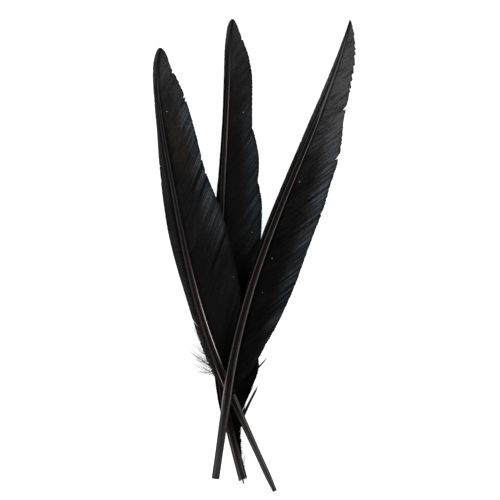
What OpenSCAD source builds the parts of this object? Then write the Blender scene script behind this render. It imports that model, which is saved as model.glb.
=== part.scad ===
// Three uncut black quills, laid crossed near their barrels.
// +Y runs along the feathers from the barrels to the tips, +Z is up, and Z = 0 is the surface
// that they lie on. The middle quill is at the bottom, the left one lies over it, and the right
// one lies over both. Each shows its grooved underside, with the narrow vane on its left.

/* [Barrels] */
// Length of the left barrel, from its natural end to the foot of the shaft
left_barrel_length = 64; // [55:1:70]
// Length of the middle barrel
middle_barrel_length = 31; // [26:1:36]
// Length of the right barrel
right_barrel_length = 53; // [46:1:60]
// Radius of the left barrel along its straight land
left_land_r = 1.95; // [1.7:0.05:2.1]
// Radius of the middle barrel along its straight land
middle_land_r = 2.8; // [2.5:0.05:3.0]
// Radius of the right barrel along its straight land
right_land_r = 2.45; // [2.1:0.05:2.6]
// Radius of the left shaft where it leaves the barrel
left_shaft_r = 2.45; // [2.2:0.05:2.6]
// Radius of the middle shaft where it leaves the barrel
middle_shaft_r = 2.7; // [2.5:0.05:2.9]
// Radius of the right shaft where it leaves the barrel
right_shaft_r = 2.8; // [2.6:0.05:2.9]
// Thickness of a barrel's horny wall
barrel_wall = 0.55; // [0.4:0.05:0.7]
// Radius of the small opening in the left barrel's natural end
umbilicus_r = 0.35; // [0.25:0.05:0.45]
// Number of splits in the middle barrel's crushed end
split_count = 3; // [2:1:4]

/* [Shafts] */
// Radius of a shaft at its tip
shaft_tip_r = 0.4; // [0.3:0.05:0.5]
// How a shaft's width falls away towards the tip: 1 is a plain taper, less keeps it stout
shaft_taper = 0.7; // [0.6:0.05:1]
// Depth of a shaft as a share of its width
shaft_depth_share = 0.9; // [0.8:0.05:1]
// Depth of the groove as a share of the shaft's half depth
groove_share = 0.35; // [0.2:0.05:0.5]
// Size of the hollow that holds the pith, as a share of the shaft around it
hollow_share = 0.72; // [0.6:0.02:0.76]

/* [Vanes] */
// Thickness of a vane at the shaft
vane_root_thickness = 0.45; // [0.35:0.05:0.6]
// Thickness of a vane at its edge
vane_edge_thickness = 0.3; // [0.2:0.05:0.4]
// Angle between the shaft and the barbs of a broad vane
broad_barb_angle = 34; // [30:1:40]
// Angle between the shaft and the barbs of a narrow vane
narrow_barb_angle = 22; // [20:1:30]
// How far the edge of a broad vane curls up
broad_cup = 1.5; // [0.5:0.1:2]
// How far the edge of a narrow vane curls up
narrow_cup = 0.7; // [0.3:0.1:1]

/* [Stacking] */
// Height of each shaft's axis at its tip
tip_height = 1.0; // [0.8:0.1:1.5]
// Gap between two shafts where they cross
crossing_gap = 0.3; // [0.2:0.05:0.6]

/* [Hidden] */

// Plan of each shaft, as control points of one curve from the barrel to the tip.
// The barrel runs straight on from the first point, along the curve's end tangent.
left_plan = [[-13, -90], [-33, -46], [-48, -2], [-43, 42], [-67, 85], [-58, 129]];
middle_plan = [[-14, -112], [-31, -47], [-17, 17], [-19, 82], [-13, 147]];
right_plan = [[-16.3, -88], [-8, -29], [11.7, 30], [48.7, 89], [61, 148]];

// Where a quill rests on the one below it, measured along Y
left_crossing_y = -72;
right_crossing_y = -84;

// Vane outlines: [share of the way up the shaft, distance from the shaft's axis]
left_broad = [
    [0.03, 2.5], [0.12, 13.5], [0.2, 24], [0.32, 28.5], [0.5, 27.5], [0.56, 25], [0.65, 21.6],
    [0.73, 20.4], [0.8, 18.7], [0.86, 16.2], [0.91, 12.4], [0.95, 7.8], [0.98, 4.8], [1, 0.5]
];
left_narrow = [
    [0.03, 2.5], [0.09, 5.6], [0.25, 5.8], [0.48, 8], [0.56, 7.4], [0.68, 5.3], [0.78, 3.2],
    [0.86, 2.7], [0.95, 3.1], [0.985, 2.3], [1, 0.5]
];
middle_broad = [
    [-0.05, 3.2], [0, 6.5], [0.067, 13.6], [0.11, 20], [0.16, 24.5], [0.4, 24.5], [0.5, 25.7],
    [0.56, 25.2], [0.61, 22.7], [0.67, 21.8], [0.76, 16.5], [0.86, 15], [0.91, 12.3], [0.95, 7.8],
    [0.98, 3.8], [1, 0.5]
];
middle_narrow = [
    [0.02, 2.9], [0.08, 3.7], [0.3, 4], [0.55, 3.5], [0.66, 2.6], [0.76, 2.2], [0.86, 2.7],
    [0.93, 3.3], [0.97, 3], [1, 0.5]
];
right_broad = [
    [0, 2.9], [0.09, 15.4], [0.15, 17.9], [0.2, 21.3], [0.27, 24.2], [0.35, 25.7], [0.52, 25.4],
    [0.6, 23.4], [0.65, 22.4], [0.71, 19], [0.76, 15.2], [0.84, 12.3], [0.91, 8.9], [0.95, 5.5],
    [0.98, 2.4], [1, 0.5]
];
right_narrow = [
    [0.2, 2.5], [0.32, 3.2], [0.44, 4.4], [0.7, 4.1], [0.82, 3.3], [0.92, 1.9], [0.96, 1.1],
    [1, 0.5]
];

// The downy tuft beside the left shaft, the fluff at the foot of the middle broad vane,
// and the barbs that have come loose below the middle and the right broad vane
left_down_outline = [[0.14, 19], [0.16, 16], [0.2, 8.5], [0.23, 6.3]];
middle_down_outline = [[-0.075, 3.2], [-0.05, 7.5], [-0.02, 8], [0, 7.5]];
middle_loose_outline = [[0.08, 20], [0.095, 22.3], [0.105, 20.5]];
right_loose_outline = [[0.085, 16.5], [0.11, 19], [0.12, 18.5]];
down_barb_angle = 50;
loose_barb_angle = 42;

// Where the broad vanes have parted along a barb, as shares of the way up the shaft
left_splits = [0.45, 0.665];
middle_splits = [0.42, 0.745];
right_splits = [0.483, 0.757];
split_gap = 0.002;

vane_seat = 0.25;          // how far a vane is rooted into the shaft's side
vane_drop = 0.2;           // height of a vane's root below the axis, as a share of the half depth
down_drop = 0.75;          // the same for the down, which grows below the vane
section_points = 12;       // points around a shaft
shaft_rings = 18;          // rings along a shaft
hollow_rings = 15;         // rings along its hollow
hollow_end = 0.82;         // where the hollow ends, as a share of the way up the shaft
pith_fill = 0.98;          // size of the pith as a share of its hollow
groove_start = 0.08;       // where the groove is fully open, as a share of the way up the shaft
groove_sharpness = 8;
rib_spacing = 0.045;       // share of the shaft's length between two ribs of a vane
vane_columns = 3;
left_land = [10, 26];      // start and end of each barrel's straight land, from its end
middle_land = [0.4, 14];
right_land = [0.4, 18];
left_end_r = 1.4;
end_chamfer = 0.2;
umbilicus_length = 1.5;
split_start_angle = 40;
split_depth = 9;
split_width = 0.4;
membrane_pitch = 4;
membrane_clearance = 0.1;
membrane_core_r = 0.3;
barrel_facets = 64;
overshoot = 1;

horn = [0.22, 0.2, 0.19];
pith_white = [0.8, 0.77, 0.7];
vane_black = [0.06, 0.065, 0.07];
down_grey = [0.2, 0.23, 0.25];

function unit(v) = v / norm(v);
function last(list) = list[len(list) - 1];

// Point at t on the curve of a list of control points
function bezier(points, t) =
    len(points) == 1 ? points[0] :
    bezier([for (i = [0 : len(points) - 2]) points[i] * (1 - t) + points[i + 1] * t], t);
function heading(path, t) =
    unit(bezier([for (i = [0 : len(path) - 2]) path[i + 1] - path[i]], t));
function sideways(path, t) = unit(cross(heading(path, t), [0, 0, 1]));
function upward(path, t) = cross(sideways(path, t), heading(path, t));
function share_at(plan, y) = (y - plan[0].y) / (last(plan).y - plan[0].y);

// Half the width of a shaft whose radius is root_r at its foot
function half_width(root_r, t) =
    shaft_tip_r + (root_r - shaft_tip_r) * pow(max(0, 1 - max(0, t)), shaft_taper);
function depth_share(t) = 1 - (1 - shaft_depth_share) * min(1, max(0, t) / groove_start);
function half_depth(root_r, t) = half_width(root_r, t) * depth_share(t);

// A plan lifted so that the axis runs straight from start_z down to the tip's height
function lay(plan, start_z) =
    [for (p = plan) [p.x, p.y, start_z + (tip_height - start_z) * share_at(plan, p.y)]];
// Height of the foot of a shaft whose axis passes crossing_z at crossing_y
function start_height(plan, crossing_y, crossing_z) =
    tip_height + (crossing_z - tip_height) / (1 - share_at(plan, crossing_y));
function axis_height(path, plan, y) = bezier(path, share_at(plan, y)).z;
// Axis height of an upper shaft that clears the lower one where they cross
function resting_z(lower_path, lower_plan, lower_r, upper_plan, upper_r, y) =
    axis_height(lower_path, lower_plan, y) + half_width(lower_r, share_at(lower_plan, y))
    + crossing_gap + half_width(upper_r, share_at(upper_plan, y));

middle_path = lay(middle_plan, middle_shaft_r);
left_path = lay(left_plan, start_height(left_plan, left_crossing_y,
    resting_z(middle_path, middle_plan, middle_shaft_r, left_plan, left_shaft_r, left_crossing_y)));
right_path = lay(right_plan, start_height(right_plan, right_crossing_y,
    resting_z(left_path, left_plan, left_shaft_r, right_plan, right_shaft_r, right_crossing_y)));

// A closed solid skinned over rings with the same number of points each
module skin(rings) {
    size = len(rings[0]);
    count = len(rings);
    points = [for (ring = rings) each ring];
    sides = [
        for (i = [0 : count - 2], j = [0 : size - 1])
        let (a = i * size + j, b = i * size + (j + 1) % size)
        each [[a, b, b + size], [a, b + size, a + size]]
    ];
    caps = [
        [for (j = [size - 1 : -1 : 0]) j],
        [for (j = [0 : size - 1]) (count - 1) * size + j]
    ];
    polyhedron(points, concat(sides, caps), convexity = 4);
}

// One ring around a shaft, with the groove along its upper side
function section(path, root_r, t, share) =
    let (
        centre = bezier(path, t),
        out = sideways(path, t),
        up = upward(path, t),
        groove = groove_share * min(1, max(0, t) / groove_start)
    )
    [
        for (i = [0 : section_points - 1])
        let (
            angle = -360 * i / section_points,
            dip = 1 - groove * pow(max(0, sin(angle)), groove_sharpness)
        )
        centre + share * half_width(root_r, t) * cos(angle) * out
            + share * half_depth(root_r, t) * sin(angle) * dip * up
    ];

// The horny shell of a shaft: down the inside to the foot, then up the outside to the tip
module rachis(path, root_r) {
    hollow_step = hollow_end / hollow_rings;
    color(horn)
        skin(concat(
            [for (i = [hollow_rings : -1 : 0]) section(path, root_r, i * hollow_step, hollow_share)],
            [for (i = [0 : shaft_rings]) section(path, root_r, i / shaft_rings, 1)]
        ));
}

// The white core that fills the shell
module pith(path, root_r) {
    step = hollow_end * pith_fill / hollow_rings;
    color(pith_white)
        skin([
            for (i = [0 : hollow_rings])
            section(path, root_r, i * step, hollow_share * pith_fill)
        ]);
}

// Places a shape that stands on a barrel's end, with +Z running up the barrel
module on_barrel(path, length) {
    direction = heading(path, 0);
    translate(path[0] - length * direction)
        rotate([0, acos(direction.z), atan2(direction.y, direction.x)])
            children();
}

// A hollow barrel whose bore runs straight along the land and then widens towards the shaft
module barrel_body(length, land_r, land, shaft_r, end_r, mouth_r) {
    bore_r = land_r - barrel_wall;
    outside = [[end_r, 0], [land_r, land[0]], [land_r, land[1]], [shaft_r, length]];
    inside = [[shaft_r - barrel_wall, length], [bore_r, land[1]]];
    mouth = mouth_r < bore_r
        ? [[bore_r, land[0]], [mouth_r, umbilicus_length], [mouth_r, 0]]
        : [[bore_r, 0]];
    rotate_extrude($fn = barrel_facets) polygon(concat(outside, inside, mouth));
}

// The dry membrane that is left inside a barrel, shrunk into a row of shallow cups
module membrane(path, length, land_r, land, shaft_r) {
    bottom = land[1] + membrane_pitch / 2;
    cups = floor((length - bottom) / membrane_pitch);
    top = bottom + cups * membrane_pitch;
    bore_r = land_r - barrel_wall;
    widening = (shaft_r - land_r) / (length - land[1]);
    rim = [
        for (i = [0 : cups - 1])
        let (z = bottom + i * membrane_pitch)
        each [
            [membrane_core_r, z],
            [bore_r + widening * (z - land[1]) - membrane_clearance, z + membrane_pitch / 2]
        ]
    ];
    color(pith_white)
        on_barrel(path, length)
            rotate_extrude($fn = barrel_facets)
                polygon(concat([[0, bottom]], rim, [[membrane_core_r, top], [0, top]]));
}

// A thin closed sheet of barbs between two places on an outline.
// side is 1 to the right of the shaft and -1 to its left.
module vane(path, root_r, outline, side, angle, cup, drop, from, to) {
    reach = 1 / tan(angle) / norm(last(path) - path[0]);
    ribs = max(2, ceil((to - from) / rib_spacing));
    row = 2 * (vane_columns + 1);
    points = [
        for (i = [0 : ribs])
        let (
            edge_t = from + (to - from) * i / ribs,
            width = lookup(edge_t, outline),
            root_t = edge_t - reach * (width - half_width(root_r, edge_t)),
            root = half_width(root_r, root_t) - vane_seat,
            root_z = -drop * half_depth(root_r, root_t)
        )
        for (j = [0 : vane_columns])
        let (
            u = j / vane_columns,
            t = root_t + (edge_t - root_t) * u,
            middle = bezier(path, t) + side * (root + (width - root) * u) * sideways(path, t)
                + (root_z + cup * u * u) * [0, 0, 1],
            half = (vane_root_thickness + (vane_edge_thickness - vane_root_thickness) * u) / 2
        )
        each [middle - [0, 0, half], middle + [0, 0, half]]
    ];
    function low(i, j) = i * row + 2 * j;
    function high(i, j) = i * row + 2 * j + 1;
    sheet = [
        for (i = [0 : ribs - 1], j = [0 : vane_columns - 1])
        each [
            [high(i, j), high(i + 1, j), high(i + 1, j + 1)],
            [high(i, j), high(i + 1, j + 1), high(i, j + 1)],
            [low(i, j), low(i + 1, j + 1), low(i + 1, j)],
            [low(i, j), low(i, j + 1), low(i + 1, j + 1)]
        ]
    ];
    long_sides = [
        for (i = [0 : ribs - 1])
        each [
            [low(i, 0), low(i + 1, 0), high(i + 1, 0)],
            [low(i, 0), high(i + 1, 0), high(i, 0)],
            [low(i, vane_columns), high(i + 1, vane_columns), low(i + 1, vane_columns)],
            [low(i, vane_columns), high(i, vane_columns), high(i + 1, vane_columns)]
        ]
    ];
    ends = [
        for (j = [0 : vane_columns - 1])
        each [
            [low(0, j), high(0, j), high(0, j + 1)],
            [low(0, j), high(0, j + 1), low(0, j + 1)],
            [low(ribs, j), high(ribs, j + 1), high(ribs, j)],
            [low(ribs, j), low(ribs, j + 1), high(ribs, j + 1)]
        ]
    ];
    faces = concat(sheet, long_sides, ends);
    polyhedron(points, side > 0 ? faces : [for (f = faces) [f[2], f[1], f[0]]], convexity = 4);
}

module broad_vane(path, root_r, outline, from, to) {
    color(vane_black)
        vane(path, root_r, outline, 1, broad_barb_angle, broad_cup, vane_drop, from, to);
}

module narrow_vane(path, root_r, outline) {
    color(vane_black)
        vane(path, root_r, outline, -1, narrow_barb_angle, narrow_cup, vane_drop, outline[0][0], 1);
}

module loose_barbs(path, root_r, outline, side, angle) {
    color(down_grey)
        vane(path, root_r, outline, side, angle, 0, down_drop, outline[0][0], last(outline)[0]);
}

module left_barrel() {
    color(horn)
        on_barrel(left_path, left_barrel_length)
            barrel_body(left_barrel_length, left_land_r, left_land, left_shaft_r,
                left_end_r, umbilicus_r);
}

// The crushed end is split lengthways in a few places
module middle_barrel() {
    color(horn)
        on_barrel(middle_path, middle_barrel_length)
            difference() {
                barrel_body(middle_barrel_length, middle_land_r, middle_land, middle_shaft_r,
                    middle_land_r - end_chamfer, middle_land_r);
                for (i = [0 : split_count - 1])
                    rotate([0, 0, split_start_angle + 360 * i / split_count])
                        translate([0, -split_width / 2, -overshoot])
                            cube([middle_land_r + overshoot, split_width,
                                split_depth / (i + 1) + overshoot]);
            }
}

module right_barrel() {
    color(horn)
        on_barrel(right_path, right_barrel_length)
            barrel_body(right_barrel_length, right_land_r, right_land, right_shaft_r,
                right_land_r - end_chamfer, right_land_r);
}

module left_membrane() {
    membrane(left_path, left_barrel_length, left_land_r, left_land, left_shaft_r);
}

module middle_membrane() {
    membrane(middle_path, middle_barrel_length, middle_land_r, middle_land, middle_shaft_r);
}

module right_membrane() {
    membrane(right_path, right_barrel_length, right_land_r, right_land, right_shaft_r);
}

module left_rachis() { rachis(left_path, left_shaft_r); }
module middle_rachis() { rachis(middle_path, middle_shaft_r); }
module right_rachis() { rachis(right_path, right_shaft_r); }
module left_pith() { pith(left_path, left_shaft_r); }
module middle_pith() { pith(middle_path, middle_shaft_r); }
module right_pith() { pith(right_path, right_shaft_r); }

module left_narrow_vane() { narrow_vane(left_path, left_shaft_r, left_narrow); }
module middle_narrow_vane() { narrow_vane(middle_path, middle_shaft_r, middle_narrow); }
module right_narrow_vane() { narrow_vane(right_path, right_shaft_r, right_narrow); }

module left_broad_vane_base() {
    broad_vane(left_path, left_shaft_r, left_broad, left_broad[0][0], left_splits[0] - split_gap);
}

module left_broad_vane_middle() {
    broad_vane(left_path, left_shaft_r, left_broad, left_splits[0], left_splits[1] - split_gap);
}

module left_broad_vane_tip() {
    broad_vane(left_path, left_shaft_r, left_broad, left_splits[1], 1);
}

module middle_broad_vane_base() {
    broad_vane(middle_path, middle_shaft_r, middle_broad, middle_broad[0][0],
        middle_splits[0] - split_gap);
}

module middle_broad_vane_middle() {
    broad_vane(middle_path, middle_shaft_r, middle_broad, middle_splits[0],
        middle_splits[1] - split_gap);
}

module middle_broad_vane_tip() {
    broad_vane(middle_path, middle_shaft_r, middle_broad, middle_splits[1], 1);
}

module right_broad_vane_base() {
    broad_vane(right_path, right_shaft_r, right_broad, right_broad[0][0],
        right_splits[0] - split_gap);
}

module right_broad_vane_middle() {
    broad_vane(right_path, right_shaft_r, right_broad, right_splits[0],
        right_splits[1] - split_gap);
}

module right_broad_vane_tip() {
    broad_vane(right_path, right_shaft_r, right_broad, right_splits[1], 1);
}

module left_down() {
    loose_barbs(left_path, left_shaft_r, left_down_outline, -1, down_barb_angle);
}

module middle_down() {
    loose_barbs(middle_path, middle_shaft_r, middle_down_outline, 1, down_barb_angle);
}

module middle_loose_barbs() {
    loose_barbs(middle_path, middle_shaft_r, middle_loose_outline, 1, loose_barb_angle);
}

module right_loose_barbs() {
    loose_barbs(right_path, right_shaft_r, right_loose_outline, 1, broad_barb_angle);
}

left_barrel();
left_membrane();
left_rachis();
left_pith();
left_narrow_vane();
left_broad_vane_base();
left_broad_vane_middle();
left_broad_vane_tip();
left_down();
middle_barrel();
middle_membrane();
middle_rachis();
middle_pith();
middle_narrow_vane();
middle_broad_vane_base();
middle_broad_vane_middle();
middle_broad_vane_tip();
middle_down();
middle_loose_barbs();
right_barrel();
right_membrane();
right_rachis();
right_pith();
right_narrow_vane();
right_broad_vane_base();
right_broad_vane_middle();
right_broad_vane_tip();
right_loose_barbs();
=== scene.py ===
"""Three black quills laid crossed: barb by barb vanes, grooved shafts and horn barrels on the CAD frame."""

import math

import bpy
import numpy as np
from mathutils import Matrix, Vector


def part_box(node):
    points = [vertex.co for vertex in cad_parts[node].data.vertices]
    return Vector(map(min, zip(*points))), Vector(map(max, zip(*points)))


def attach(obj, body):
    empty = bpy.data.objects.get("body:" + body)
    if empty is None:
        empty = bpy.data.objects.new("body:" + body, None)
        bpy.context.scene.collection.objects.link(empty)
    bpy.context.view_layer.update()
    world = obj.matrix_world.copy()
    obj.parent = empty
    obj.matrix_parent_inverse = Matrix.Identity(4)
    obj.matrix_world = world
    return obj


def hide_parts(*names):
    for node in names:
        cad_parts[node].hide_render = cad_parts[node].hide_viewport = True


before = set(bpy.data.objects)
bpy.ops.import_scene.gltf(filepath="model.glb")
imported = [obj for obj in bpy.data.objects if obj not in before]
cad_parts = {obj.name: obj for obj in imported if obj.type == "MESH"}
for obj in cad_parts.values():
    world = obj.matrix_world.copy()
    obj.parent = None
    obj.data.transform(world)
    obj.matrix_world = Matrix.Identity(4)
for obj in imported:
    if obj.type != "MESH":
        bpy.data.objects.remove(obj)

MM = 0.001
UP = np.array([0.0, 0.0, 1.0])
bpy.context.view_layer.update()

# ---------------------------------------------------------------- sizes, in millimetres

# Shafts and barrels: the same curves and girths as the CAD frame's
TIP_HEIGHT = 1.0  # of each shaft's tip above the surface
SHAFT_TIP_R = 0.4
SHAFT_TAPER = 0.7  # power of the taper from foot to tip
SHAFT_DEPTH_SHARE = 0.9  # depth over width, where the shaft is grooved
SHAFT_SQUARENESS = 0.2
GROOVE_START = 0.08  # share of the shaft over which the groove opens
GROOVE_CLOSING = 0.08  # share of the shaft over which it closes
GROOVE_DEPTH = 0.36  # share of the shaft's half depth
SHAFT_POINTS = 56
SHAFT_RINGS = 230
BARREL_POINTS = 96
OUTSIDE_RINGS = 80
INSIDE_RINGS = 40
JAG_REACH = 12  # how far up the barrel its broken end still bends its rings

# Tones across a shaft or a barrel: places run from 0 on its middle line to 1 at its side
GROOVE_EDGES = (0.3, 0.66)
RIDGE_PLACE = 0.78
RIDGE_SPREAD = 0.11
MERGED_SPREAD = 0.35  # added to the ridges' spread where they merge beyond the groove
# where the painted glint runs along a ridge
GLINT_PLACE = 0.9
GLINT_SPREAD = 0.09
# painted reflections of the side lamps: pale bands along the barrel's upper side
BAND_PLACE = 0.5
BAND_SPREAD = 0.2
CRACK_SPREAD = 0.12
# painted shade along the barrel's sides, where it turns away from the lamps
RIM_START = 0.6
RIM_SHADE = 0.8
END_DARK = (0.2, 1.2, 0.9)  # dark up to here, gone by here, how dark

# Vanes. angle: of the barbs to the shaft, in degrees; cup: how far the edge rises;
# bend: how the barbs curve towards the tip; sheen_gain: how much of the painted blue-green sheen they show
BROAD = {"name": "broad", "side": 1, "angle": 34, "cup": 1.5, "bend": 1.14, "sheen_gain": 1.0}
NARROW = {"name": "narrow", "side": -1, "angle": 22, "cup": 0.7, "bend": 1.14, "sheen_gain": 0.0}
VANE_DROP = 0.2  # share of the shaft's half depth by which the barbs' roots lie below its axis
VANE_SEAT = 0.3  # how far the roots reach into the shaft
BARB_PITCH = 0.8
BARB_STATIONS = 13
BARB_PLACES = 1 - (1 - np.linspace(0, 1, BARB_STATIONS)) ** 1.4  # closer together near the tip
BARB_OVERLAP = 1.4  # width over the distance to the next barb
BARB_POINT = 0.35  # length of a barb's pointed end
BARB_THICKNESS = 0.14
BARB_FRAY = 0.2
FULL_FRAY_LENGTH = 12  # barbs shorter than this fray less
EDGE_SPARE = 0.18  # added to the outline, because frayed barbs end short of it
SHORTEST_SHARE = 0.3  # no barb is trimmed to less of its length than this
CLUMP_SIZES = (4, 12)
RAGGED_DEPTH = 3
NOTCHED_LENGTH = 240  # shaft length at which a notch is as long as its entry says
TEAR_REACH = 0.03
# how far the painted shade of a crease reaches along the shaft, as a share of it
CREASE_REACH = 0.008

# Unevenness from barb to barb: (size, how fast it varies along the shaft, octaves)
SWAY = (0.0012, 90, 4)  # of the barbs along the shaft, as a share of it
LIFT = (0.22, 70, 2)  # of the barbs' tips
TONE = (0.2, 50, 4)  # of the barbs' lightness, as a share of it

# Cross-sections of one barb and one hair: (share of the half width, share of the thickness)
BARB_SECTION = [
    (-1, -0.5), (-0.25, 0.2), (0, 1), (0.25, 0.3), (1, 0.5), (0.85, -0.2), (0, -0.7), (-0.85, -0.9),
]
HAIR_SECTION = [(-1, 0), (0, 1), (1, 0), (0, -1)]
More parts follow.
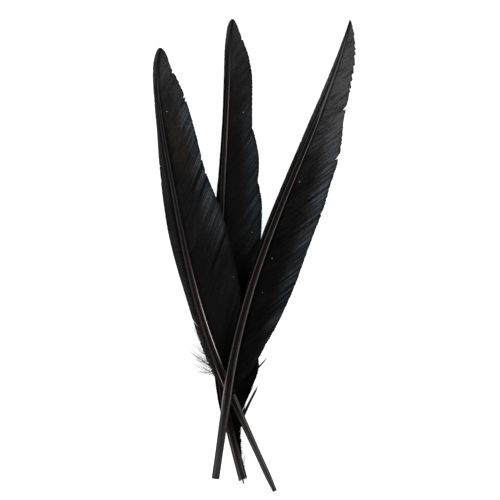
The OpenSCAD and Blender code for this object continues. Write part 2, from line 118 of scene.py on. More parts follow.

# One entry per quill. Places along the shaft are shares of the way from its foot to its tip.
# plan: the control points of the shaft's curve, seen from above; shaft_r: its radius at its foot
# barrel_outside, barrel_inside: the barrel's radius, as (distance from its end, radius)
# barrel_end: how far the barrel's end is broken back, as (angle round the barrel in degrees, mm),
#   below 0 where a splinter stands out
# broad, narrow: each vane's outline, as (place, distance from the axis)
# sections: where the broad vane parts into its base, middle and tip
# broad_tears, narrow_tears: (place at the edge, share of the barb that has come apart, gap in mm,
#   how dark the painted shade in the crease is)
# notches: (place, depth in mm, half length in mm) of bites out of the broad vane's edge
# ragged: (place, fade) of the ragged lower edge; serrated: (place, tooth in mm) of the toothed one
# broad_shade, narrow_shade: how light each vane is, by place
# painted_sheen: (start, end, gain) of the painted blue-green sheen that lightens the outer part of the
# broad vane
# streaks: how much single barbs differ, and streakiness the same for the streaks in them
# patch: (start, end) of a thin brown stretch; fold_y: where a fold crosses the vane, marked by a painted
# highlight line
# ridge_highlights, reflection_bands: strength of the painted highlights on the left and right side of the
# shaft, and of the painted lamp reflections on the left and right of the barrel
# crack: (place across, length in mm, darkness) of a split along the barrel
# groove_end: where the shaft's groove has closed
# ridge_glint: (side, place, spread, strength) of the stretches where a pale painted highlight runs along a
# ridge
# seed: of the quill's random numbers
QUILLS = {
    "left": {
        "plan": [(-13, -90), (-33, -46), (-48, -2), (-43, 42), (-67, 85), (-58, 129)],
        "shaft_r": 2.45,
        "barrel_length": 64,
        "barrel_outside": [(0, 1.2), (0.3, 1.4), (10, 1.95), (26, 1.95), (64, 2.45)],
        "barrel_inside": [(0, 0.35), (1.5, 0.35), (10, 1.4), (26, 1.4), (64, 1.9)],
        "barrel_end": [(0, 0), (360, 0)],
        "broad": [(0.03, 2.5), (0.12, 13.5), (0.2, 24), (0.32, 28.5), (0.5, 27.5), (0.56, 25),
                  (0.65, 21.6), (0.73, 20.4), (0.8, 18.7), (0.86, 16.2), (0.91, 12.4), (0.95, 7.8),
                  (0.98, 4.8), (0.995, 2.3), (1, 0.6)],
        "narrow": [(0.03, 2.5), (0.09, 5.6), (0.25, 5.8), (0.48, 8), (0.56, 7.4), (0.68, 5.3),
                   (0.78, 3.2), (0.86, 2.7), (0.95, 3.1), (0.985, 2.3), (0.996, 1.5), (1, 0.6)],
        "sections": (0.45, 0.665),
        "broad_tears": [(0.455, 0.75, 0.3, 1.0), (0.615, 0.5, 0, 1.0), (0.655, 0.6, 0, 1.0),
                        (0.7, 0.4, 0, 0.5), (0.848, 0.25, 0, 0.6), (0.937, 0.25, 0, 0.6)],
        "narrow_tears": [(0.23, 0.8, 1.0, 0.3)],
        "notches": [(0.936, 0.9, 0.7), (0.858, 0.9, 0.7), (0.846, 0.7, 0.7), (0.668, 0.7, 0.8),
                    (0.628, 0.6, 0.8)],
        "ragged": (0.1, 0.05),
        "serrated": (0.9, 0.25),
        "broad_shade": [(0, 0.034), (0.1, 0.038), (0.3, 0.072), (0.5, 0.084), (0.7, 0.09), (0.85, 0.2),
                        (0.95, 0.42), (1, 0.5)],
        "narrow_shade": [(0, 0.46), (0.2, 0.44), (0.3, 0.28), (0.4, 0.15), (0.55, 0.13), (0.7, 0.26),
                         (1, 0.5)],
        "painted_sheen": (0.38, 0.82, 4.0),
        "streaks": 0.5,
        "streakiness": 0.3,
        "patch": (0.6, 0.88),
        "fold_y": 79.8,
        "ridge_highlights": (0.24, 0.15),
        "reflection_bands": (0.5, 0.22),
        "groove_end": 0.88,
        "ridge_glint": [(1, 0.18, 0.12, 1.0), (-1, 0.055, 0.03, 0.3)],
        "seed": 11,
    },
    "middle": {
        "plan": [(-14, -112), (-31, -47), (-17, 17), (-19, 82), (-13, 147)],
        "shaft_r": 2.7,
        "barrel_length": 31,
        "barrel_outside": [(0, 2.7), (0.4, 2.8), (14, 2.8), (31, 2.7)],
        "barrel_inside": [(0, 2.25), (14, 2.25), (31, 2.15)],
        "barrel_end": [(0, 1.5), (18, 4), (30, 0.6), (48, 2.4), (62, 0.2), (74, 3), (78, 9), (83, 2),
                       (86, -1.4), (92, -2.1), (104, -1.7), (110, 2.5), (118, 0.8), (180, 0.4), (230, 1.6),
                       (270, 0.5), (320, 2.6), (360, 1.5)],
        "broad": [(-0.05, 3.2), (0, 6.5), (0.067, 13.6), (0.11, 20), (0.16, 24.5), (0.4, 24.5),
                  (0.5, 25.7), (0.56, 25.2), (0.61, 22.7), (0.67, 21.8), (0.76, 16.5), (0.86, 15),
                  (0.91, 12.3), (0.95, 7.8), (0.98, 3.9), (0.995, 1.7), (1, 0.6)],
        "narrow": [(0.02, 2.9), (0.08, 3.7), (0.3, 4), (0.55, 3.5), (0.66, 2.6), (0.76, 2.2),
                   (0.86, 2.7), (0.93, 3.3), (0.975, 2.9), (0.994, 1.7), (1, 0.6)],
        "sections": (0.42, 0.745),
        "broad_tears": [(0.012, 0.8, 0.7, 0.2), (0.03, 0.6, 1.0, 0.3), (0.115, 0.3, 1.0, 0.3),
                        (0.42, 0.5, 0, 0.6), (0.452, 0.12, 1.2, 0.3),
                        (0.6, 0.4, 0, 0.6), (0.55, 0.3, 0, 0.7), (0.48, 0.3, 0, 0.7),
                        (0.745, 0.3, 0, 0.5)],
        "narrow_tears": [],
        "notches": [(0.957, 0.6, 0.8), (0.745, 0.6, 1.5), (0.62, 0.6, 2.5)],
        "ragged": (0.0, 0.07),
        "serrated": (0.9, 0.2),
        "broad_shade": [(0, 0.006), (0.2, 0.006), (0.3, 0.024), (0.5, 0.055), (0.7, 0.066), (0.85, 0.15),
                        (0.95, 0.34), (1, 0.45)],
        "narrow_shade": [(0, 0.07), (0.15, 0.02), (0.4, 0.025), (0.8, 0.08), (1, 0.4)],
        "painted_sheen": (0.36, 0.78, 3.0),
        "streaks": 0.5,
        "streakiness": 0.25,
        "ridge_highlights": (0.04, 0.3),
        "reflection_bands": (1.0, 0.4),
        "crack": (0.2, 28, 0.4),
        "groove_end": 0.9,
        "ridge_glint": [(1, 0.77, 0.12, 0.35)],
        "seed": 23,
    },
    "right": {
        "plan": [(-16.3, -88), (-8, -29), (11.7, 30), (48.7, 89), (61, 148)],
        "shaft_r": 2.8,
        "barrel_length": 53,
        "barrel_outside": [(0, 2.05), (0.4, 2.35), (1, 2.45), (18, 2.45), (53, 2.8)],
        "barrel_inside": [(0, 1.9), (18, 1.9), (53, 2.25)],
        "barrel_end": [(0, 0), (360, 0)],
        "broad": [(0.01, 2.9), (0.09, 14.2), (0.15, 17.9), (0.2, 21.3), (0.27, 24.2), (0.35, 25.7),
                  (0.52, 25.4), (0.6, 23.4), (0.65, 22.4), (0.71, 19), (0.76, 15.2), (0.84, 12.3),
                  (0.91, 8.9), (0.95, 5.5), (0.98, 2.1), (0.992, 0.5)],
        "narrow": [(0.2, 2.5), (0.32, 3.2), (0.44, 4.4), (0.7, 4.1), (0.82, 3.3), (0.92, 1.9),
                   (0.96, 1.1), (0.992, 0.5)],
        "sections": (0.483, 0.757),
        "broad_tears": [(0.785, 0.5, 0, 0.6), (0.668, 0.12, 0.8, 0.2), (0.524, 0.3, 0, 0.3),
                        (0.2, 0.4, 0, 0.5), (0.06, 0.35, 0.8, 0.3), (0.04, 0.4, 0.6, 0.3)],
        "narrow_tears": [],
        "notches": [(0.785, 1.2, 1.0), (0.668, 0.9, 0.8), (0.524, 0.6, 1.0)],
        "ragged": (0.06, 0.05),
        "serrated": (0.84, 1.0),
        "broad_shade": [(0, 0.022), (0.3, 0.03), (0.4, 0.04), (0.5, 0.062), (0.6, 0.1), (0.7, 0.33),
                        (0.8, 0.82), (1, 0.95)],
        "narrow_shade": [(0, 0.03), (0.4, 0.09), (0.6, 0.17), (0.7, 0.26), (0.8, 0.65), (1, 1.0)],
        "painted_sheen": (0.08, 0.71, 6.2),
        "streaks": 0.7,
        "streakiness": 0.5,
        "ridge_highlights": (0.48, 1.1),
        "reflection_bands": (0.0, 0.12),
        "groove_end": 0.78,
        "ridge_glint": [(-1, -0.01, 0.04, 0.5)],
        "seed": 37,
    },
}

# Tufts of hairs and loose barbs that grow in wisps. roots: first and last place along the shaft.
# tips: where the wisps end, as (place, distance from the axis). spread: how far the hairs of a wisp
# fan out at its root and its tip, in mm. pale: how light their ends are
TUFTS = {
    "left_down": {
        "piece": "left_down_hairs", "side": -1, "roots": (0.06, 0.125),
        "tips": [(0.13, 20.5), (0.135, 22), (0.15, 17), (0.145, 14), (0.185, 23.5), (0.165, 13), (0.2, 12),
                 (0.21, 10), (0.235, 8.5)],
        "wisps": 26, "hairs": 3, "radius": 0.11, "spread": (0.6, 1.2), "bend": 1.0, "curl": 2.4,
        "shortest": 0.4, "pale": 0.5, "seed": 5,
    },
    "middle_down": {
        "piece": "middle_down_hairs", "side": 1, "roots": (-0.09, -0.04),
        "tips": [(-0.07, 4.5), (-0.05, 7), (-0.035, 7.5), (0, 7.5)],
        "wisps": 8, "hairs": 4, "radius": 0.06, "spread": (0.6, 1.2), "bend": 1.1, "curl": 0.8,
        "shortest": 0.5, "pale": 1.0, "seed": 6,
    },
    "middle_loose_barbs": {
        "piece": "middle_loose_strands", "side": 1, "roots": (-0.003, 0.004),
        "tips": [(0.092, 20.5), (0.105, 23.2)],
        "wisps": 3, "hairs": 9, "radius": 0.36, "spread": (1.3, 1.0), "bend": 1.14, "curl": 0.1,
        "shortest": 0.8, "pale": 0.15, "seed": 7,
    },
    "right_loose_barbs": {
        "piece": "right_loose_strands", "side": 1, "roots": (0.002, 0.012),
        "tips": [(0.1, 18), (0.11, 19.8), (0.12, 21)],
        "wisps": 6, "hairs": 8, "radius": 0.45, "spread": (0.6, 0.8), "bend": 1.3, "curl": 0.1,
        "shortest": 0.85, "pale": 0.0, "seed": 8,
    },
}
TUFT_DROP = 0.75  # share of the shaft's half depth by which their roots lie below its axis
OWN_CURL = 0.35  # a single hair's curl over its wisp's
HAIR_THICKNESS = 0.07


# ---------------------------------------------------------------- geometry helpers

def unit(v):
    return v / np.maximum(np.linalg.norm(v, axis=-1, keepdims=True), 1e-12)


def bernstein(degree, t):
    terms = [math.comb(degree, i) * (1 - t) ** (degree - i) * t**i for i in range(degree + 1)]
    return np.stack(terms, -1)


def bell(x, centre, spread):
    return np.exp(-(((x - centre) / spread) ** 2))


def ramp(x, low, high):
    """0 below low and 1 above high, with a smooth rise between them."""
    s = np.clip((x - low) / (high - low), 0, 1)
    return s * s * (3 - 2 * s)


class Shaft:
    """The curve and girth of one quill's shaft: t runs from 0 at its foot to 1 at its tip."""

    def __init__(self, name, quill):
        plan = np.array(quill["plan"], float)
        foot_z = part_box(f"{name}_rachis")[1].z / MM - quill["shaft_r"]
        share = (plan[:, 1] - plan[0, 1]) / (plan[-1, 1] - plan[0, 1])
        self.controls = np.column_stack([plan, foot_z + (TIP_HEIGHT - foot_z) * share])
        self.root_r = quill["shaft_r"]
        self.degree = len(plan) - 1
        self.slopes = self.degree * np.diff(self.controls, axis=0)
        self.length = np.linalg.norm(self.controls[-1] - self.controls[0])

    def at(self, t):
        """Points on the axis. Below the foot they run straight on, as the barrel does."""
        t = np.asarray(t, float)
        on_curve = bernstein(self.degree, np.maximum(t, 0)) @ self.controls
        return on_curve + np.minimum(t, 0)[..., None] * self.slopes[0]

    def heading(self, t):
        return unit(bernstein(self.degree - 1, np.maximum(t, 0)) @ self.slopes)

    def sideways(self, t):
        return unit(np.cross(self.heading(t), UP))

    def upward(self, t):
        return np.cross(self.sideways(t), self.heading(t))

    def half_width(self, t):
        left = np.maximum(1 - np.maximum(t, 0), 0)
        return SHAFT_TIP_R + (self.root_r - SHAFT_TIP_R) * left**SHAFT_TAPER

    def half_depth(self, t):
        opened = np.clip(np.asarray(t, float) / GROOVE_START, 0, 1)
        return self.half_width(t) * (1 - (1 - SHAFT_DEPTH_SHARE) * opened)


def smooth_profile(knots, t):
    """A smooth curve through (place, value) knots that never overshoots them."""
    x, y = np.array(knots, float).T
    slope = np.diff(y) / np.diff(x)
    product = slope[:-1] * slope[1:]
    total = np.where(product > 0, slope[:-1] + slope[1:], 1)
    inner = np.where(product > 0, 2 * product / total, 0)
    tangents = np.concatenate([slope[:1], inner, slope[-1:]])
    i = np.clip(np.searchsorted(x, t) - 1, 0, len(x) - 2)
    h = x[i + 1] - x[i]
    s = np.clip((t - x[i]) / h, 0, 1)
    start = (1 + 2 * s) * (1 - s) ** 2 * y[i] + s * (1 - s) ** 2 * h * tangents[i]
    end = s**2 * (3 - 2 * s) * y[i + 1] + s**2 * (s - 1) * h * tangents[i + 1]
    return start + end


def waves(places, unevenness, rng):
    """Smooth random waves along the shaft, of the given (size, pace, octaves)."""
    size, pace, octaves = unevenness
    total = np.zeros_like(places)
    for k in range(octaves):
        total += np.sin(2**k * (places * pace) + rng.uniform(0, 2 * math.pi)) / 1.6**k
    return size * (total / 2)


def tube_faces(count, rings, size):
    """Faces of `count` capped tubes, each of `rings` rings with `size` points."""
    tube = np.arange(count)[:, None, None] * rings * size
    i = np.arange(rings - 1)[None, :, None]
    j = np.arange(size)[None, None, :]
    here = tube + i * size
    beside = (j + 1) % size
    quads = np.stack([here + j, here + beside, here + size + beside, here + size + j], -1)
    first = np.arange(count)[:, None] * rings * size
    starts = first + np.arange(size)[::-1]
    ends = first + (rings - 1) * size + np.arange(size)
    return quads.reshape(-1, 4).tolist() + starts.tolist() + ends.tolist()


def loop_faces(rings, size):
    """Faces of a skin whose last ring joins its first, as on a tube with a wall."""
    i = np.arange(rings)[:, None]
    j = np.arange(size)[None, :]
    after = (i + 1) % rings
    beside = (j + 1) % size
    quads = np.stack([i * size + j, i * size + beside, after * size + beside, after * size + j], -1)
    return quads.reshape(-1, 4).tolist()


def make_piece(name, points, faces, node, material, marks):
    """A mesh in the row frame that stands for a CAD node and rides on its quill."""
    mesh = bpy.data.meshes.new(name)
    mesh.from_pydata((points.reshape(-1, 3) * MM).tolist(), [], faces)
    for mark, values in marks.items():
        is_vector = values.shape[-1] == 3
        attribute = mesh.attributes.new(mark, "FLOAT_VECTOR" if is_vector else "FLOAT", "POINT")
        attribute.data.foreach_set("vector" if is_vector else "value", values.astype(np.float32).ravel())
    mesh.polygons.foreach_set("use_smooth", [len(face) == 4 for face in faces])
    mesh.materials.append(material)
    piece = bpy.data.objects.new(name, mesh)
    bpy.context.scene.collection.objects.link(piece)
    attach(piece, node.split("_")[0] + "_quill")
    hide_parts(node)


# ---------------------------------------------------------------- materials

def rgb(r, g, b):
    return (r, g, b, 1.0)


class Recipe:
    """A node material under construction."""

    def __init__(self, name):
        self.material = bpy.data.materials.new(name)
        self.material.use_nodes = True
        self.tree = self.material.node_tree
        self.shader = self.tree.nodes["Principled BSDF"]

    def feed(self, socket, value):
        if isinstance(value, bpy.types.NodeSocket):
            self.tree.links.new(value, socket)
        else:
            socket.default_value = value

    def add(self, kind, inputs, **settings):
        node = self.tree.nodes.new(kind)
        for key, value in settings.items():
            setattr(node, key, value)
        for key, value in inputs.items():
            self.feed(node.inputs[key], value)
        return node

    def mark(self, name, output="Fac"):
        return self.add("ShaderNodeAttribute", {}, attribute_name=name).outputs[output]

    def math(self, operation, a, b=0.0):
        return self.add("ShaderNodeMath", {0: a, 1: b}, operation=operation).outputs[0]

    def span(self, value, low, high, to_low=0.0, to_high=1.0):
        inputs = {"Value": value, "From Min": low, "From Max": high, "To Min": to_low, "To Max": to_high}
        node = self.add("ShaderNodeMapRange", inputs, interpolation_type="SMOOTHSTEP")
        return node.outputs["Result"]

    def mix(self, amount, a, b, blend="MIX"):
        node = self.add("ShaderNodeMix", {}, data_type="RGBA", blend_type=blend)
        for name, value in (("Factor", amount), ("A", a), ("B", b)):
            self.feed(next(s for s in node.inputs if s.name == name and s.enabled), value)
        return next(s for s in node.outputs if s.enabled)

    def noise(self, vector, scale, detail=3.0):
        inputs = {"Vector": vector, "Scale": scale, "Detail": detail}
        return self.add("ShaderNodeTexNoise", inputs).outputs["Fac"]

    def stretched(self, vector, scale):
        return self.add("ShaderNodeMapping", {"Vector": vector, "Scale": scale}).outputs["Vector"]

    def place(self):
        return self.add("ShaderNodeTexCoord", {}).outputs["Object"]

    def bump(self, height, strength, distance):
        node = self.add("ShaderNodeBump", {"Height": height, "Strength": strength, "Distance": distance})
        self.feed(self.shader.inputs["Normal"], node.outputs["Normal"])

    def finish(self, color, roughness, specular):
        self.feed(self.shader.inputs["Base Color"], color)
        self.feed(self.shader.inputs["Roughness"], roughness)
        self.shader.inputs["Specular IOR Level"].default_value = specular
        return self.material


def horn_material():
    """Black-dyed horn: grey-brown with lengthwise streaks, painted highlights on the ridges and along the
    barrel, pale painted glints, and a brown groove painted darker as its shade.
    """
    r = Recipe("dyed_horn")
    space = r.mark("horn_space", "Vector")
    streaks = r.noise(r.stretched(space, (1.5, 1.5, 0.04)), 1.0, 5.0)
    blotches = r.noise(r.stretched(space, (0.5, 0.5, 0.12)), 1.0)
    dark = r.mix(r.mark("bare_horn"), rgb(0.002, 0.0016, 0.0014), rgb(0.0135, 0.0125, 0.012))
    pale = r.mix(r.mark("bare_horn"), rgb(0.005, 0.0042, 0.0038), rgb(0.036, 0.0335, 0.0325))
    color = r.mix(r.span(streaks, 0.35, 0.65), dark, pale)
    # painted highlights: pale lines along the shaft's ridges and lamp reflections along the barrel
    horn_highlight = r.math("MULTIPLY", r.mark("horn_highlight"), r.span(streaks, 0.3, 0.6, 0.6, 1.0))
    color = r.mix(horn_highlight, color, rgb(0.135, 0.128, 0.125))
    # the groove's brown, painted darker as the shade in it; on the barrel the same mark paints shade at its
    # sides
    groove = r.math("MULTIPLY", r.mark("groove"), r.span(blotches, 0.2, 0.7, 1.0, 0.85))
    color = r.mix(groove, color, rgb(0.0040, 0.0022, 0.0016))
    # painted highlight: a pale glint along stretches of the ridges
    ridge_glint = r.math("MULTIPLY", r.mark("ridge_glint"), r.span(streaks, 0.3, 0.5, 0.6, 1.0))
    color = r.mix(ridge_glint, color, rgb(0.9, 0.76, 0.7))
    r.bump(streaks, 0.3, 0.0002)
    return r.finish(color, r.span(blotches, 0.3, 0.8, 0.36, 0.5), 0.09)


def fold_highlight(r, tone, place, fold_y):
    """The vane's tone with a fine painted highlight line where a fold crosses it."""
    away = r.add("ShaderNodeSeparateXYZ", {"Vector": place}).outputs["Y"]
    away = r.math("ABSOLUTE", r.math("SUBTRACT", away, fold_y * MM))
    return r.math("MULTIPLY", tone, r.span(away, 0.0, 0.0006, 2.2, 1.0))


def thin_patch(r, color, streaks, start, end):
    """The vane's colour with a brown stretch where its barbs are thin."""
    middle = (start + end) / 2
    along = r.mark("shaft_place")
    reach = r.mark("barb_reach")
    lengthways = r.math("MULTIPLY", r.span(along, start, middle), r.span(along, end, middle))
    sideways = r.math("MULTIPLY", r.span(reach, 0.05, 0.3), r.span(reach, 0.75, 0.45))
    thin = r.math("MULTIPLY", r.math("MULTIPLY", lengthways, sideways), r.span(streaks, 0.35, 0.6, 0.1))
    return r.mix(thin, color, rgb(0.020, 0.0172, 0.0118))


def dusted(r, color, place):
    """The vane's colour with a few pale specks of dust."""
    cells = r.add("ShaderNodeTexVoronoi", {"Vector": place, "Scale": 170.0})
    pick = r.add("ShaderNodeSeparateColor", {"Color": cells.outputs["Color"]}).outputs["Red"]
    speck = r.math("LESS_THAN", cells.outputs["Distance"], 0.05)
    speck = r.math("MULTIPLY", speck, r.math("GREATER_THAN", pick, 0.72))
    return r.mix(speck, color, rgb(0.4, 0.4, 0.39))


def vane_material(name, look):
    """Near-black barbs, lighter towards the tip, with fine streaks and a painted blue-green sheen."""
    r = Recipe(f"{name}_vane")
    place = r.place()
    clouds = r.noise(place, 45.0, 4.0)
    grain = r.noise(place, 1100.0, 2.0)
    streaks = r.noise(r.stretched(r.mark("barb_space", "Vector"), (0.9, 0.1, 1.0)), 1.0, 4.0)
    contrast = look["streakiness"]
    tone = r.math("MULTIPLY", r.mark("barb_tone"), r.span(streaks, 0.3, 0.7, 1 - contrast, 1 + contrast))
    tone = r.math("MULTIPLY", tone, r.span(clouds, 0.3, 0.7, 0.8, 1.2))
    tone = r.math("MULTIPLY", tone, r.span(grain, 0.3, 0.7, 0.65, 1.35))
    # painted highlight along a fold
    if "fold_y" in look:
        tone = fold_highlight(r, tone, place, look["fold_y"])
    color = r.mix(r.math("MULTIPLY", r.mark("lightness"), tone), rgb(0, 0, 0), rgb(0.072, 0.0705, 0.0735))
    # painted sheen: a blue-green tint on the lighter outer part of the broad vane
    painted_sheen = r.math("MULTIPLY", r.mark("painted_sheen"), r.span(clouds, 0.38, 0.6, 0.4, 1.0))
    color = r.mix(painted_sheen, color, rgb(0.78, 1.0, 1.07), "MULTIPLY")
    if "patch" in look:
        color = thin_patch(r, color, streaks, *look["patch"])
    barbules = r.math("SINE", r.math("MULTIPLY", r.mark("barb_along"), 2 * math.pi / 0.2))
    r.bump(r.math("ADD", r.math("MULTIPLY", barbules, 0.3), r.noise(place, 2200.0)), 0.25, 0.00008)
    r.shader.inputs["Sheen Weight"].default_value = 0.12
    r.shader.inputs["Sheen Roughness"].default_value = 0.25
    return r.finish(dusted(r, color, place), r.span(streaks, 0.3, 0.7, 0.5, 0.6), 0.05)


def down_material():
    """Thin hairs of down, grey-black with paler ends."""
    r = Recipe("grey_down")
    shade = r.noise(r.place(), 400.0)
    color = r.mix(r.span(shade, 0.3, 0.7), rgb(0.0008, 0.001, 0.0012), rgb(0.003, 0.0036, 0.0042))
    ends = r.math("MULTIPLY", r.span(r.mark("barb_reach"), 0.2, 0.9), r.mark("lightness"))
    color = r.mix(ends, color, rgb(0.20, 0.24, 0.29))
    return r.finish(color, r.span(shade, 0.2, 0.8, 0.5, 0.7), 0.02)


def dry_material(name, pale, dark, scale):
    """Dry pith or membrane: off-white, mottled and dull."""
    r = Recipe(name)
    mottle = r.noise(r.place(), scale, 5.0)
    r.bump(mottle, 0.5, 0.0002)
    return r.finish(r.mix(r.span(mottle, 0.3, 0.7), dark, pale), r.span(mottle, 0.2, 0.8, 0.75, 0.9), 0.25)


# ---------------------------------------------------------------- horn parts

def facing_up(y):
    return ramp(y, -0.1, 0.1)


def horn_marks(x, y, t, quill):
    """Where the groove (painted darker as its shade), the painted highlights on its two ridges and the
    painted glints lie on a ring of unit points x, y, and how deep the groove is carved there."""
    upper = facing_up(y)
    closing = ramp(t, quill["groove_end"] - GROOVE_CLOSING, quill["groove_end"])
    carved = ramp(t, 0, GROOVE_START) * (1 - closing)
    tinted = ramp(t, -0.2, 0.02) * (1 - closing)
    # the groove, which is carved and is painted darker as the shade in it
    groove = upper * (1 - ramp(np.abs(x), *GROOVE_EDGES))
    place = RIDGE_PLACE * (1 - closing)
    # painted highlight along each ridge, of its own strength on either side
    horn_highlight = upper * bell(np.abs(x), place, RIDGE_SPREAD + MERGED_SPREAD * closing)
    left, right = quill["ridge_highlights"]
    sides = left + (right - left) * ramp(x, -0.4, 0.4)
    horn_highlight = horn_highlight * sides * ramp(t, -0.12, 0.05) * (1 - ramp(t, 0.9, 0.98))
    # painted glint along stretches of the ridges
    ridge_glint = np.zeros(np.broadcast(x, t).shape)
    for side, centre, spread, strength in quill["ridge_glint"]:
        ridge_glint += strength * upper * bell(side * x, GLINT_PLACE, GLINT_SPREAD) * bell(t, centre, spread)
    horn = 1 - ramp(t + 0 * x, -0.06, 0.04)
    marks = {"groove": groove * tinted, "horn_highlight": horn_highlight, "ridge_glint": ridge_glint, "bare_horn": horn}
    return marks, groove * carved


def make_shaft(name, shaft, quill, material):
    t = np.linspace(0, quill["broad"][-1][0], SHAFT_RINGS)[:, None]
    angle = -2 * math.pi * np.arange(SHAFT_POINTS)[None, :] / SHAFT_POINTS
    squareness = 1 - SHAFT_SQUARENESS * ramp(t, 0, GROOVE_START)
    x = np.sign(np.cos(angle)) * np.abs(np.cos(angle)) ** squareness
    y = np.sign(np.sin(angle)) * np.abs(np.sin(angle)) ** squareness
    marks, carved = horn_marks(x, y, t, quill)
    across = shaft.half_width(t) * x
    above = shaft.half_depth(t) * y * (1 - GROOVE_DEPTH * carved)
    points = (shaft.at(t) + across[..., None] * shaft.sideways(t)
              + above[..., None] * shaft.upward(t))
    marks["horn_space"] = np.stack([across, above, np.broadcast_to(t * shaft.length, x.shape)], -1)
    faces = tube_faces(1, SHAFT_RINGS, SHAFT_POINTS)
    make_piece(f"{name}_shaft_horn", points, faces, f"{name}_rachis", material, marks)


def barrel_rings(quill):
    """Each ring's place along the barrel and its radius: up the outside, then down the inside."""
    length = quill["barrel_length"]
    up_z = np.concatenate([[0, 0.1, 0.3, 0.8], np.linspace(1.5, length - 0.05, OUTSIDE_RINGS), [length]])
    down_z = np.concatenate([np.linspace(length, 1.5, INSIDE_RINGS), [0.8, 0.1, 0]])
    outside = np.interp(up_z, *np.array(quill["barrel_outside"]).T)
    inside = np.interp(down_z, *np.array(quill["barrel_inside"]).T)
    return np.concatenate([up_z, down_z])[:, None], np.concatenate([outside, inside])[:, None]


def barrel_reflections(x, y, quill):
    """Painted reflections of the side lamps: paler bands along the left and right of a barrel's upper side.
    """
    left, right = quill["reflection_bands"]
    reflection_bands = left * bell(x, -BAND_PLACE, BAND_SPREAD) + right * bell(x, BAND_PLACE, BAND_SPREAD)
    return reflection_bands * facing_up(y)


def barrel_darkness(x, y, z, horn, quill):
    """Painted shade at a barrel's sides, and how dark it is at its end and along its crack."""
    # painted shade along the sides
    dark = RIM_SHADE * ramp(np.abs(x), RIM_START, 1) * horn
    full, gone, strength = END_DARK
    dark += strength * (1 - ramp(z, full, gone))
    if "crack" in quill:
        place, reach, strength = quill["crack"]
        dark += strength * bell(x, place, CRACK_SPREAD) * facing_up(y) * (1 - ramp(z, 0, reach))
    return dark


def make_barrel(name, shaft, quill, material):
    """A hollow barrel skinned as one closed loop."""
    length = quill["barrel_length"]
    z, radius = barrel_rings(quill)
    turn = 2 * math.pi * np.arange(BARREL_POINTS)[None, :] / BARREL_POINTS
    x = np.cos(turn) + 0 * z
    y = np.sin(turn) + 0 * z
    marks, _ = horn_marks(x, y, (z - length) / shaft.length, quill)
    horn = marks["bare_horn"]
    # painted reflections of the side lamps along the barrel
    marks["horn_highlight"] = marks["horn_highlight"] + barrel_reflections(x, y, quill) * horn
    # painted shade at the barrel's sides, with its dark end and crack, rides on the groove mark
    marks["groove"] = np.maximum(marks["groove"], barrel_darkness(x, y, z, horn, quill))
    broken = np.interp(np.degrees(turn), *np.array(quill["barrel_end"], float).T)
    lengthwise = z + broken * np.clip(1 - z / JAG_REACH, 0, 1)
    end = shaft.at(0.0) - length * shaft.heading(0.0)
    local = np.stack([radius * x, radius * y, lengthwise], -1)
    points = end + local @ np.stack([shaft.sideways(0.0), shaft.upward(0.0), shaft.heading(0.0)])
    marks["horn_space"] = local - [0, 0, length]
    faces = [face[::-1] for face in loop_faces(len(z), BARREL_POINTS)]
    make_piece(f"{name}_barrel_horn", points, faces, f"{name}_barrel", material, marks)


# ---------------------------------------------------------------- vanes

def barb_spread(shaft, outline, angle):
    """Evenly spaced root places, and the edge places that barbs at this angle reach from them."""
    edge = np.linspace(outline[0][0], outline[-1][0], 1500)
    width = smooth_profile(outline, edge)
    root = edge - (width - shaft.half_width(edge)) / math.tan(math.radians(angle)) / shaft.length
    root = np.maximum.accumulate(root) + np.arange(len(root)) * 1e-9
    roots = np.linspace(root[0], root[-1], int((root[-1] - root[0]) * shaft.length / BARB_PITCH))
    return roots, np.interp(roots, root, edge)


def clump_phase(count, rng):
    """For each barb, how far through its clump it is: 0 at the first barb, near 1 at the last."""
    sizes = rng.integers(*CLUMP_SIZES, count)
    return np.concatenate([np.arange(size) / size for size in sizes])[:count]


def edge_trims(quill, edges, lengths, phase, rng):
    """How much shorter than the outline each barb is: frayed tips, teeth, notches and a ragged foot."""
    trims = BARB_FRAY * rng.random(len(edges))
    serrated_from, tooth = quill["serrated"]
    trims += tooth * phase * np.clip((edges - serrated_from) / 0.05 + 1, 0.2, 1)
    for place, depth, half_length in quill["notches"]:
        trims += depth * bell(edges, place, half_length / NOTCHED_LENGTH)
    foot, fade = quill["ragged"]
    trims += RAGGED_DEPTH * rng.random(len(edges)) ** 2 * np.exp(-np.maximum(edges - foot, 0) / fade)
    return trims * np.clip(lengths / FULL_FRAY_LENGTH, 0.1, 1)


def tear_effects(quill, kind, shaft, edges, rng):
    """Swing along the shaft and painted crease shade on each barb's stations, where clumps have come apart.
    """
    swings = waves(edges, SWAY, rng)[:, None] * BARB_PLACES**2
    crease_shade = np.ones((len(edges), BARB_STATIONS))
    for place, share, gap, dark in quill[kind["name"] + "_tears"]:
        away = (edges - place)[:, None]
        opened = np.clip((BARB_PLACES - 1 + share) / share, 0, 1) ** 1.2
        swing = 0.5 * gap / shaft.length * np.sign(away) * np.exp(-np.abs(away) / TEAR_REACH)
        swings = swings + swing * opened
        # painted shade in the crease where a clump has come apart
        crease_shade *= 1 - dark * bell(away, 0, CREASE_REACH) * ramp(opened, 0, 0.3)
    return swings, crease_shade


def barb_lines(shaft, kind, roots, edges, widths, shares, swings, lifts, drop):
    """Centrelines of barbs as [barb, station, xyz]. shares: how much of each barb is there."""
    u = BARB_PLACES * shares[:, None]
    root = (shaft.half_width(roots) - VANE_SEAT)[:, None]
    t = roots[:, None] + (edges - roots)[:, None] * u ** kind["bend"] + swings
    offset = kind["side"] * (root + (widths[:, None] - root) * u)
    height = -drop * shaft.half_depth(roots)[:, None] + kind["cup"] * u**2 + lifts
    return shaft.at(t) + offset[..., None] * shaft.sideways(t) + height[..., None] * UP


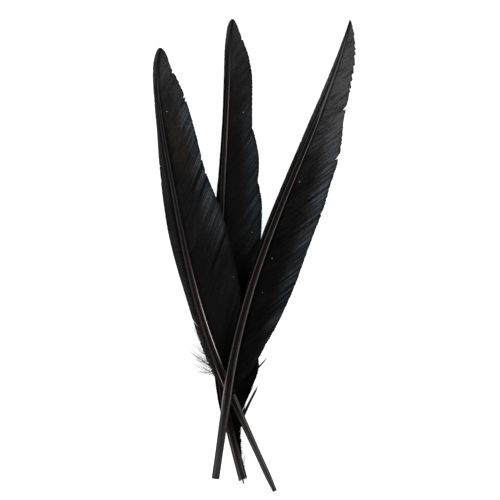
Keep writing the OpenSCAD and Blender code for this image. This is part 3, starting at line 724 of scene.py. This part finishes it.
def run_lengths(lines):
    """How far along its own line each station of each strand is."""
    steps = np.linalg.norm(np.diff(lines, axis=1), axis=-1)
    return np.concatenate([np.zeros((len(lines), 1)), np.cumsum(steps, 1)], 1)


def barb_half_widths(lines):
    """Half widths that make each barb reach over its neighbour, and that narrow at its tip."""
    across = unit(np.cross(unit(np.gradient(lines, axis=1)), UP))
    gaps = np.abs(np.einsum("bsk,bsk->bs", np.diff(lines, axis=0), across[:-1]))
    gaps = np.concatenate([gaps, gaps[-1:]])
    along = run_lengths(lines)
    to_tip = along[:, -1:] - along
    return gaps * BARB_OVERLAP / 2 * (0.7 + 0.3 * np.clip(to_tip / BARB_POINT, 0, 1))


def make_strands(name, node, lines, half, thick, section, marks, material):
    """One piece of many closed strands, each swept along its own line. marks: [strand, station]."""
    heading = unit(np.gradient(lines, axis=1))
    across = unit(np.cross(heading, UP))
    up = np.cross(across, heading)
    share, rise = np.array(section).T
    points = (lines[:, :, None] + (half[..., None] * share)[..., None] * across[:, :, None]
              + (thick[..., None] * rise)[..., None] * up[:, :, None])
    count, stations, size = points.shape[:3]
    along = run_lengths(lines)
    marks = {key: np.broadcast_to(value, (count, stations)) for key, value in marks.items()}
    marks["barb_along"] = along
    marks["barb_reach"] = np.broadcast_to(BARB_PLACES, (count, stations))
    marks = {key: np.repeat(value, size) for key, value in marks.items()}
    shaft_mm = marks.pop("shaft_mm")
    marks["barb_space"] = np.stack([shaft_mm, marks["barb_along"], 0 * shaft_mm], -1)
    make_piece(name, points, tube_faces(count, stations, size), node, material, marks)


def vane_marks(quill, kind, shaft, roots, edges, crease_shade, rng):
    """What the vane's material reads: each barb's tone, and lightness (with painted sheen and painted
    crease shade), painted sheen and place by station.
    """
    place = roots[:, None] + (edges - roots)[:, None] * BARB_PLACES
    # painted sheen: the broad vane's outer part is lightened and tinted blue-green
    start, end, gain = quill["painted_sheen"]
    along = ramp(place, start, start + 0.12) * (1 - ramp(place, end - 0.08, end + 0.1))
    painted_sheen = kind["sheen_gain"] * along * ramp(BARB_PLACES, 0.45, 0.95)
    knots = quill[kind["name"] + "_shade"]
    shade = smooth_profile(knots, np.maximum(place, 0).ravel()).reshape(place.shape)
    sheen_gain = gain * painted_sheen * (0.3 + 2.1 * rng.random((len(edges), 1)) ** 2)
    lightness = shade * (1 + sheen_gain) * crease_shade * (1 - 0.8 * ramp(BARB_PLACES, 0.93, 1.0))
    tones = 1 + waves(edges, TONE, rng) + quill["streaks"] * (rng.random(len(edges)) - 0.5)
    marks = {
        "barb_tone": tones[:, None],
        "lightness": lightness,
        "painted_sheen": painted_sheen,
        "shaft_place": place,
        "shaft_mm": edges[:, None] * shaft.length,
    }
    return {key: np.broadcast_to(value, place.shape) for key, value in marks.items()}


def make_vane(name, shaft, quill, kind, parts, material):
    """The barbs of one vane. parts: (piece's name, CAD node, lowest edge place, highest edge place)."""
    rng = np.random.default_rng(quill["seed"] + kind["side"])
    outline = quill[kind["name"]]
    roots, edges = barb_spread(shaft, outline, kind["angle"])
    phase = clump_phase(len(edges), rng)
    widths = smooth_profile(outline, edges) + EDGE_SPARE
    lengths = widths - shaft.half_width(edges)
    shares = 1 - edge_trims(quill, edges, lengths, phase, rng) / lengths
    shares = np.maximum(shares, SHORTEST_SHARE)
    swings, crease_shade = tear_effects(quill, kind, shaft, edges, rng)
    lifts = waves(edges, LIFT, rng)[:, None] * BARB_PLACES
    at_rest = barb_lines(shaft, kind, roots, edges, widths, shares, 0 * swings, lifts, VANE_DROP)
    half = barb_half_widths(at_rest)
    lines = barb_lines(shaft, kind, roots, edges, widths, shares, swings, lifts, VANE_DROP)
    thick = BARB_THICKNESS * np.minimum(1, half / 0.15) * (1 - 0.5 * BARB_PLACES)
    marks = vane_marks(quill, kind, shaft, roots, edges, crease_shade, rng)
    for piece, node, low, high in parts:
        chosen = (edges >= low) & (edges < high)
        picked = {key: value[chosen] for key, value in marks.items()}
        make_strands(f"{name}_{piece}", f"{name}_{node}", lines[chosen], half[chosen],
                     thick[chosen], BARB_SECTION, picked, material)


def tuft_layout(tuft, shaft, rng):
    """Root places, edge places, widths and shares of a tuft's hairs, wisp by wisp."""
    wisps = tuft["wisps"]
    hairs = tuft["hairs"]
    order = (np.arange(wisps) + 0.5 + rng.uniform(-0.3, 0.3, wisps)) / wisps
    place, distance = np.array(tuft["tips"]).T
    knots = np.linspace(0, 1, len(place))
    fan = rng.uniform(-1, 1, (wisps, hairs))
    at_root, at_tip = np.array(tuft["spread"]) / shaft.length
    roots = (np.interp(order, [0, 1], tuft["roots"])[:, None] + at_root * fan).ravel()
    edges = (np.interp(order, knots, place)[:, None] + at_tip * fan).ravel()
    widths = np.repeat(np.interp(order, knots, distance), hairs)
    shares = 1 - (1 - tuft["shortest"]) * rng.random(wisps * hairs)
    return roots, edges, widths, shares


def tuft_curls(tuft, shaft, rng):
    """Swing along the shaft and lift of each hair's stations: its wisp's curl and its own."""
    count = tuft["wisps"] * tuft["hairs"]
    shared = np.repeat(rng.normal(0, tuft["curl"], (2, tuft["wisps"])), tuft["hairs"], 1)[..., None]
    own = rng.normal(0, tuft["curl"] * OWN_CURL, (3, count, 1))
    bend, wave = shared + own[:2]
    u = BARB_PLACES
    swings = (bend * u**2 + 0.4 * wave * np.sin(2.5 * math.pi * u) * u) / shaft.length
    return swings, 0.3 * own[2] * u**2


def make_tuft(node, tuft, shaft, material):
    """Loose hairs or barbs that grow in wisps from the shaft below the vane."""
    rng = np.random.default_rng(tuft["seed"])
    count = tuft["wisps"] * tuft["hairs"]
    roots, edges, widths, shares = tuft_layout(tuft, shaft, rng)
    swings, lifts = tuft_curls(tuft, shaft, rng)
    kind = {"side": tuft["side"], "cup": 0.0, "bend": tuft["bend"]}
    lines = barb_lines(shaft, kind, roots, edges, widths, shares, swings, lifts, TUFT_DROP)
    half = tuft["radius"] * (1 - 0.7 * BARB_PLACES**1.5) * (0.6 + 0.4 * rng.random((count, 1)))
    marks = {
        "lightness": tuft["pale"] * (0.4 + 0.6 * rng.random((count, 1))),
        "shaft_mm": edges[:, None] * shaft.length,
    }
    thick = np.minimum(half, HAIR_THICKNESS)
    make_strands(tuft["piece"], node, lines, half, thick, HAIR_SECTION, marks, material)


# ---------------------------------------------------------------- stage

VIEW_CENTRE = (-2.1, 2.5)
VIEW_WIDTH = 313.0
CAMERA_LENS = 600.0  # long, so that the view is nearly parallel
SENSOR = 36.0


def make_camera():
    """A camera straight above the quills."""
    camera = bpy.data.objects.new("camera", bpy.data.cameras.new("camera"))
    camera.data.lens = CAMERA_LENS
    camera.data.sensor_width = SENSOR
    camera.data.clip_end = 20
    distance = VIEW_WIDTH * CAMERA_LENS / SENSOR
    camera.location = (VIEW_CENTRE[0] * MM, VIEW_CENTRE[1] * MM, distance * MM)
    bpy.context.scene.collection.objects.link(camera)
    bpy.context.scene.camera = camera


def make_light(name, place, size, power):
    light = bpy.data.lights.new(name, "AREA")
    light.size = size
    light.energy = power
    lamp = bpy.data.objects.new(name, light)
    lamp.location = place
    lamp.rotation_mode = "QUATERNION"
    lamp.rotation_quaternion = (-Vector(place)).to_track_quat("-Z", "Y")
    bpy.context.scene.collection.objects.link(lamp)


def make_floor():
    """A pale floor that takes shadows and that the camera sees as white."""
    bpy.ops.mesh.primitive_plane_add(size=8, location=(0, 0, -0.0002))
    floor = bpy.context.object
    floor.name = "floor"
    r = Recipe("pale_floor")
    r.finish(rgb(0.5, 0.5, 0.5), 0.9, 0.1)
    seen = r.add("ShaderNodeLightPath", {}).outputs["Is Camera Ray"]
    r.shader.inputs["Emission Color"].default_value = rgb(1, 1, 1)
    r.feed(r.shader.inputs["Emission Strength"], r.math("MULTIPLY", seen, 0.9))
    floor.data.materials.append(r.material)


def make_world():
    """A weak light from all around, which the camera sees as full white."""
    world = bpy.data.worlds.new("studio")
    world.use_nodes = True
    nodes = world.node_tree.nodes
    seen = nodes.new("ShaderNodeLightPath").outputs["Is Camera Ray"]
    strength = nodes.new("ShaderNodeMapRange")
    strength.inputs["To Min"].default_value = 0.2
    world.node_tree.links.new(seen, strength.inputs["Value"])
    world.node_tree.links.new(strength.outputs["Result"], nodes["Background"].inputs["Strength"])
    nodes["Background"].inputs["Color"].default_value = rgb(1, 1, 1)
    bpy.context.scene.world = world


def make_stage():
    make_floor()
    make_world()
    make_light("key", (1.3, 0.8, 0.9), 0.8, 30)
    make_light("fill", (-1.5, 0.1, 0.9), 0.8, 22)
    make_light("low", (0.3, -1.6, 0.9), 1.0, 6)
    bpy.context.scene.view_settings.view_transform = "Standard"


# ---------------------------------------------------------------- build

def build_quill(name, shaft, quill, horn):
    """The shaft, the barrel and both vanes of one quill."""
    vane = vane_material(name, quill)
    make_shaft(name, shaft, quill, horn)
    make_barrel(name, shaft, quill, horn)
    low, high = quill["sections"]
    narrow_parts = [("narrow_barbs", "narrow_vane", -1, 2)]
    broad_parts = [
        ("broad_barbs_base", "broad_vane_base", -1, low),
        ("broad_barbs_middle", "broad_vane_middle", low, high),
        ("broad_barbs_tip", "broad_vane_tip", high, 2),
    ]
    make_vane(name, shaft, quill, NARROW, narrow_parts, vane)
    make_vane(name, shaft, quill, BROAD, broad_parts, vane)


def dress_dry_parts():
    """The pith and the membranes keep their CAD solids and get a dry look."""
    looks = {
        "pith": dry_material("dry_pith", rgb(0.75, 0.71, 0.62), rgb(0.5, 0.45, 0.37), 900.0),
        "membrane": dry_material("dry_membrane", rgb(0.6, 0.55, 0.46), rgb(0.35, 0.3, 0.24), 500.0),
    }
    for node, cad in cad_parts.items():
        kind = node.split("_")[-1]
        if kind in looks:
            cad.data.materials.clear()
            cad.data.materials.append(looks[kind])


def build():
    horn = horn_material()
    down = down_material()
    shafts = {name: Shaft(name, quill) for name, quill in QUILLS.items()}
    for name, quill in QUILLS.items():
        build_quill(name, shafts[name], quill, horn)
    for node, tuft in TUFTS.items():
        make_tuft(node, tuft, shafts[node.split("_")[0]], down)
    dress_dry_parts()


make_camera()
make_stage()
build()
